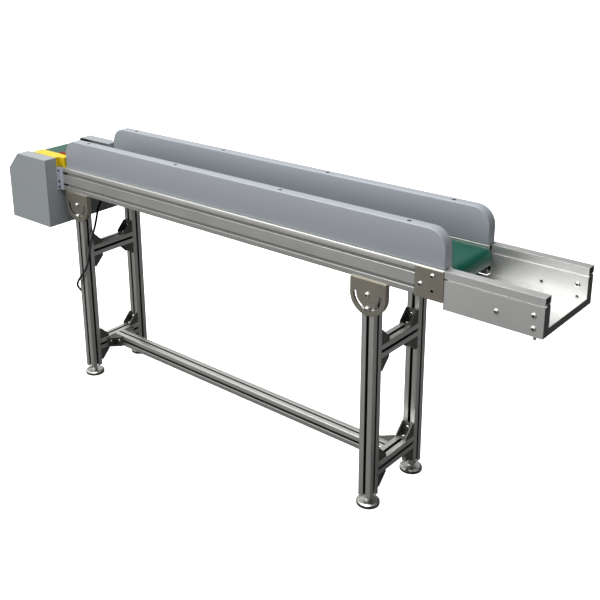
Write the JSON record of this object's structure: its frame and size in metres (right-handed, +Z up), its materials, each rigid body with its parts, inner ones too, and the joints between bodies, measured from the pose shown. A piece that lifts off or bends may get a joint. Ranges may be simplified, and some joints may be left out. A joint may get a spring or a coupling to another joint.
{
  "type": "belt conveyor section",
  "caption": "Flat belt conveyor with side guards, covered drive head, discharge tray and an adjustable T-slot aluminium stand.",
  "frame": {"origin": "middle of the footprint, at floor level under the feet", "axes": "+X along the belt from the drive head to the discharge tray, +Z up, -Y towards the side with the drive cover"},
  "size_m": [1.956, 0.331, 0.857],
  "materials": {
    "anodised_profile": "clear anodised, satin",
    "cast_bracket": "die cast, tumbled",
    "zinc_screw": "bright zinc",
    "black_screw": "black oxide",
    "foot_steel": "zinc plated",
    "strip_grey": "extruded grey plastic",
    "bed_steel": "galvanised sheet",
    "guard_paint": "grey powder coat, satin",
    "head_paint": "grey powder coat, satin",
    "belt_green": "smooth green PVC, semi gloss",
    "turned_steel": "turned",
    "stainless_sheet": "brushed stainless",
    "machined_aluminium": "machined",
    "yellow_paint": "yellow powder coat",
    "seal_red": "soft dark red",
    "drive_rubber": "moulded, toothed",
    "motor_paint": "dark grey enamel",
    "tray_aluminium": "clear anodised, satin",
    "cap_black": "moulded",
    "cord_black": "PVC sheath, satin"
  },
  "bodies": {
    "stand": {"post_drive_near": "anodised_profile", "post_drive_far": "anodised_profile", "post_discharge_near": "anodised_profile", "post_discharge_far": "anodised_profile", "upper_crossbar_drive": "anodised_profile", "lower_crossbar_drive": "anodised_profile", "upper_crossbar_discharge": "anodised_profile", "lower_crossbar_discharge": "anodised_profile", "stretcher": "anodised_profile", "crossbar_brackets": "cast_bracket", "stretcher_brackets": "cast_bracket", "bracket_screws": "zinc_screw"},
    "deck": {"rail_near": "anodised_profile", "rail_far": "anodised_profile", "tail_plate_screws": "zinc_screw", "pivot_flange_screws": "zinc_screw", "tray_screws": "zinc_screw", "tray_stud": "zinc_screw", "guard_screws": "black_screw", "head_screws": "black_screw", "slot_strips": "strip_grey", "slider_bed": "bed_steel", "cross_ties": "bed_steel", "guard_near": "guard_paint", "guard_far": "guard_paint", "head_cover": "head_paint", "conveyor_belt": "belt_green", "tail_shaft": "turned_steel", "tail_bearings": "turned_steel", "drum_bearings": "turned_steel", "tail_plates": "stainless_sheet", "pivot_plates": "stainless_sheet", "tension_blocks": "machined_aluminium", "head_plates": "machined_aluminium", "motor_bracket": "machined_aluminium", "rail_end_bracket": "machined_aluminium", "belt_side_cover": "yellow_paint", "edge_seal": "seal_red", "timing_belt": "drive_rubber", "motor": "motor_paint", "gearbox": "motor_paint", "tray_wall_near": "tray_aluminium", "tray_wall_far": "tray_aluminium", "tray_floor": "tray_aluminium", "tray_end_caps": "cap_black", "cable_gland": "cap_black", "power_cord": "cord_black", "cord_hank": "cord_black", "power_plug": "cord_black"},
    "discharge_bolts": {"pivot_bolts_discharge": "zinc_screw"},
    "drive_bolts": {"pivot_bolts_drive": "zinc_screw"},
    "drum": {"drive_drum": "turned_steel", "drum_pulley": "turned_steel"},
    "tail_roller": {"tail_roller": "turned_steel"},
    "motor_pulley": {"motor_pulley": "turned_steel"},
    "foot_drive_near": {"foot_drive_near": "foot_steel"},
    "foot_drive_far": {"foot_drive_far": "foot_steel"},
    "foot_discharge_near": {"foot_discharge_near": "foot_steel"},
    "foot_discharge_far": {"foot_discharge_far": "foot_steel"}
  },
  "joints": [
    {"name": "deck_height", "type": "slide", "parent": "stand", "child": "discharge_bolts", "axis": [0, 0, 1], "range_m": [0, 0.01]},
    {"name": "deck_tilt", "type": "hinge", "parent": "discharge_bolts", "child": "deck", "pos_m": [0.507, 0.024, 0.64], "axis": [0, 1, 0], "range_deg": [0, 0.7]},
    {"name": "drive_bolt_turn", "type": "hinge", "parent": "deck", "child": "drive_bolts", "pos_m": [-0.679, 0.024, 0.64], "axis": [0, 1, 0], "range_deg": [-0.7, 0]},
    {"name": "drum_spin", "type": "hinge", "parent": "deck", "child": "drum", "pos_m": [-0.945, 0.024, 0.7413], "axis": [0, 1, 0], "continuous": true},
    {"name": "tail_roller_spin", "type": "hinge", "parent": "deck", "child": "tail_roller", "pos_m": [0.708, 0.024, 0.7267], "axis": [0, 1, 0], "continuous": true},
    {"name": "motor_pulley_spin", "type": "hinge", "parent": "deck", "child": "motor_pulley", "pos_m": [-0.861, -0.126, 0.64], "axis": [0, 1, 0], "continuous": true},
    {"name": "level_drive_near", "type": "slide", "parent": "stand", "child": "foot_drive_near", "axis": [0, 0, -1], "range_m": [0, 0.025]},
    {"name": "level_drive_far", "type": "slide", "parent": "stand", "child": "foot_drive_far", "axis": [0, 0, -1], "range_m": [0, 0.025]},
    {"name": "level_discharge_near", "type": "slide", "parent": "stand", "child": "foot_discharge_near", "axis": [0, 0, -1], "range_m": [0, 0.025]},
    {"name": "level_discharge_far", "type": "slide", "parent": "stand", "child": "foot_discharge_far", "axis": [0, 0, -1], "range_m": [0, 0.025]}
  ],
  "couplings": [
    {"joint": "drive_bolt_turn", "follows": "deck_tilt", "ratio": -1},
    {"joint": "tail_roller_spin", "follows": "drum_spin", "ratio": 1.1539},
    {"joint": "motor_pulley_spin", "follows": "drum_spin", "ratio": 0.73333}
  ]
}
